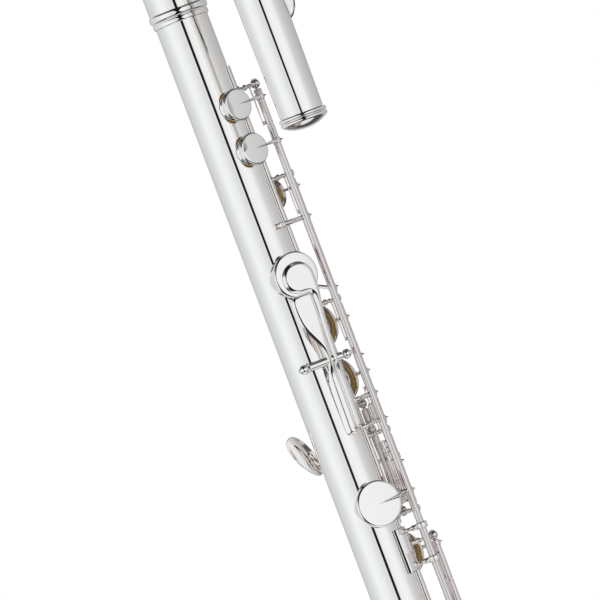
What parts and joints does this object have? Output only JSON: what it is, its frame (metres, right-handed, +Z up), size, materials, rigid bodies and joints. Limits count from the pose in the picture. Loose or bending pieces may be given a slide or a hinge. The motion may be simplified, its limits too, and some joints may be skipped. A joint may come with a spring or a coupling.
{
  "type": "alto flute",
  "caption": "Alto flute with a curved head joint, lip plate, padded keys on hinge rods with posts and ribs, thumb levers and a foot joint.",
  "frame": {"origin": "centre of the foot joint's end face", "axes": "+Z up the flute toward the head joint, +Y out of the front row of tone holes"},
  "size_m": [0.0941, 0.0661, 0.6976],
  "materials": {
    "silver": "polished silver plate",
    "steel": "ground steel",
    "pad_skin": "thin skin over felt",
    "cork": "fine-grained cork"
  },
  "bodies": {
    "body": {"body_tube": "silver", "barrel": "silver", "left_hand_posts": "silver", "g_posts": "silver", "right_hand_posts": "silver", "c_sharp_steel": "steel", "g_sharp_steel": "steel", "g_steel": "steel", "right_hand_steel": "steel", "thumb_left_post": "silver", "thumb_right_post": "silver", "thumb_steel": "steel"},
    "thumb_b": {"thumb_b_key": "silver", "thumb_b_pad": "pad_skin"},
    "thumb_b_flat": {"thumb_b_flat_lever": "silver"},
    "g": {"g_key": "silver", "g_upper_pad": "pad_skin", "g_lower_pad": "pad_skin"},
    "foot": {"foot_tube": "silver", "foot_posts": "silver", "foot_top_post": "silver", "foot_steel": "steel"},
    "foot_c_roller": {"foot_c_roller": "silver"},
    "foot_c_sharp_roller": {"foot_c_sharp_roller": "silver"},
    "head": {"head_tube": "silver", "tenon_ferrule": "silver", "return_ferrule": "silver", "lip_plate": "silver", "riser": "silver"},
    "crown": {"crown": "silver"},
    "stopper": {"stopper_cork": "cork", "stopper_rod": "steel"},
    "d_sharp_trill": {"d_sharp_trill_key": "silver", "d_sharp_trill_pad": "pad_skin", "d_sharp_trill_touch": "silver", "d_sharp_trill_rod": "steel"},
    "d_trill": {"d_trill_key": "silver", "d_trill_pad": "pad_skin"},
    "c_sharp": {"c_sharp_key": "silver", "c_sharp_pad": "pad_skin"},
    "b_flat": {"b_flat_key": "silver", "b_flat_pad": "pad_skin"},
    "a": {"a_key": "silver", "a_pad": "pad_skin"},
    "g_sharp": {"g_sharp_key": "silver", "g_sharp_pad": "pad_skin"},
    "f_sharp": {"f_sharp_key": "silver", "f_sharp_pad": "pad_skin"},
    "f": {"f_key": "silver", "f_pad": "pad_skin"},
    "e": {"e_key": "silver", "e_pad": "pad_skin"},
    "d": {"d_key": "silver", "d_pad": "pad_skin"},
    "foot_e_flat": {"foot_e_flat_key": "silver", "foot_e_flat_pad": "pad_skin"},
    "foot_c_sharp": {"foot_c_sharp_key": "silver", "foot_c_sharp_pad": "pad_skin"},
    "foot_c": {"foot_c_key": "silver", "foot_c_pad": "pad_skin"}
  },
  "joints": [
    {"name": "d_sharp_trill_hinge", "type": "hinge", "parent": "body", "child": "d_sharp_trill", "pos_m": [0.02165, 0.0062, 0], "axis": [0, 0, 1], "range_deg": [0, 7], "stiffness_Nm_per_rad": 0.03, "springref_deg": -5.73},
    {"name": "d_trill_hinge", "type": "hinge", "parent": "body", "child": "d_trill", "pos_m": [0.02165, 0.0062, 0], "axis": [0, 0, 1], "range_deg": [0, 7], "stiffness_Nm_per_rad": 0.03, "springref_deg": -5.73},
    {"name": "c_sharp_hinge", "type": "hinge", "parent": "body", "child": "c_sharp", "pos_m": [0.019, 0.0145, 0], "axis": [0, 0, 1], "range_deg": [0, 8.97], "stiffness_Nm_per_rad": 0.03, "springref_deg": -5.73},
    {"name": "thumb_b_hinge", "type": "hinge", "parent": "body", "child": "thumb_b", "pos_m": [0.01181, -0.01223, 0.408], "axis": [-0.7193, -0.6947, 0], "range_deg": [0, 2.86], "stiffness_Nm_per_rad": 0.03, "springref_deg": -5.73},
    {"name": "thumb_b_flat_hinge", "type": "hinge", "parent": "body", "child": "thumb_b_flat", "pos_m": [0.01181, -0.01223, 0.408], "axis": [-0.7193, -0.6947, 0], "range_deg": [0, 2.86], "stiffness_Nm_per_rad": 0.03, "springref_deg": -5.73},
    {"name": "b_flat_hinge", "type": "hinge", "parent": "body", "child": "b_flat", "pos_m": [0.019, 0.0145, 0], "axis": [0, 0, 1], "range_deg": [0, 8.37], "stiffness_Nm_per_rad": 0.03, "springref_deg": -5.73},
    {"name": "a_hinge", "type": "hinge", "parent": "body", "child": "a", "pos_m": [0.019, 0.0145, 0], "axis": [0, 0, 1], "range_deg": [0, 8.37], "stiffness_Nm_per_rad": 0.03, "springref_deg": -5.73},
    {"name": "g_hinge", "type": "hinge", "parent": "body", "child": "g", "pos_m": [0.0121, 0.015, 0], "axis": [0, 0, 1], "range_deg": [0, 8.54], "stiffness_Nm_per_rad": 0.03, "springref_deg": -5.73},
    {"name": "g_sharp_hinge", "type": "hinge", "parent": "body", "child": "g_sharp", "pos_m": [0.019, 0.0145, 0], "axis": [0, 0, 1], "range_deg": [0, 7.2], "stiffness_Nm_per_rad": 0.03, "springref_deg": -5.73},
    {"name": "f_sharp_hinge", "type": "hinge", "parent": "body", "child": "f_sharp", "pos_m": [0.0224, 0.0145, 0], "axis": [0, 0, 1], "range_deg": [0, 7.04], "stiffness_Nm_per_rad": 0.03, "springref_deg": -5.73},
    {"name": "f_hinge", "type": "hinge", "parent": "body", "child": "f", "pos_m": [0.0224, 0.0145, 0], "axis": [0, 0, 1], "range_deg": [0, 7.04], "stiffness_Nm_per_rad": 0.03, "springref_deg": -5.73},
    {"name": "e_hinge", "type": "hinge", "parent": "body", "child": "e", "pos_m": [0.0224, 0.0145, 0], "axis": [0, 0, 1], "range_deg": [0, 7.04], "stiffness_Nm_per_rad": 0.03, "springref_deg": -5.73},
    {"name": "d_hinge", "type": "hinge", "parent": "body", "child": "d", "pos_m": [0.0224, 0.0145, 0], "axis": [0, 0, 1], "range_deg": [0, 7.04], "stiffness_Nm_per_rad": 0.03, "springref_deg": -5.73},
    {"name": "foot_turn", "type": "hinge", "parent": "body", "child": "foot", "pos_m": [0, 0, 0.165], "axis": [0, 0, 1], "range_deg": [-15, 15]},
    {"name": "foot_e_flat_hinge", "type": "hinge", "parent": "foot", "child": "foot_e_flat", "pos_m": [0.019, 0.0145, 0], "axis": [0, 0, 1], "range_deg": [0, 8.8], "stiffness_Nm_per_rad": 0.03, "springref_deg": -5.73},
    {"name": "foot_c_sharp_hinge", "type": "hinge", "parent": "foot", "child": "foot_c_sharp", "pos_m": [0.019, 0.0145, 0], "axis": [0, 0, 1], "range_deg": [0, 8.37], "stiffness_Nm_per_rad": 0.03, "springref_deg": -5.73},
    {"name": "foot_c_hinge", "type": "hinge", "parent": "foot", "child": "foot_c", "pos_m": [0.019, 0.0145, 0], "axis": [0, 0, 1], "range_deg": [0, 8.37], "stiffness_Nm_per_rad": 0.03, "springref_deg": -5.73},
    {"name": "foot_c_roller_spin", "type": "hinge", "parent": "foot_c", "child": "foot_c_roller", "pos_m": [0.00534, 0.0247, 0.142], "axis": [0.9893, -0.1456, 0], "continuous": true},
    {"name": "foot_c_sharp_roller_spin", "type": "hinge", "parent": "foot_c_sharp", "child": "foot_c_sharp_roller", "pos_m": [0.00534, 0.0247, 0.1354], "axis": [0.9893, -0.1456, 0], "continuous": true},
    {"name": "head_slide", "type": "slide", "parent": "body", "child": "head", "axis": [0, 0, 1], "range_m": [0, 0.01]},
    {"name": "crown_turn", "type": "hinge", "parent": "head", "child": "crown", "pos_m": [0.0499, -0.02542, 0.519], "axis": [0, 0, 1], "range_deg": [-400, 400]},
    {"name": "stopper_slide", "type": "slide", "parent": "head", "child": "stopper", "axis": [0, 0, 1], "range_m": [-0.0007, 0.0007]}
  ],
  "couplings": [
    {"joint": "b_flat_hinge", "follows": "a_hinge", "ratio": 1},
    {"joint": "f_sharp_hinge", "follows": "f_hinge", "ratio": 1},
    {"joint": "thumb_b_hinge", "follows": "thumb_b_flat_hinge", "ratio": 1},
    {"joint": "foot_c_sharp_hinge", "follows": "foot_c_hinge", "ratio": 1},
    {"joint": "crown_turn", "follows": "stopper_slide", "rad_per_m": 8976}
  ]
}
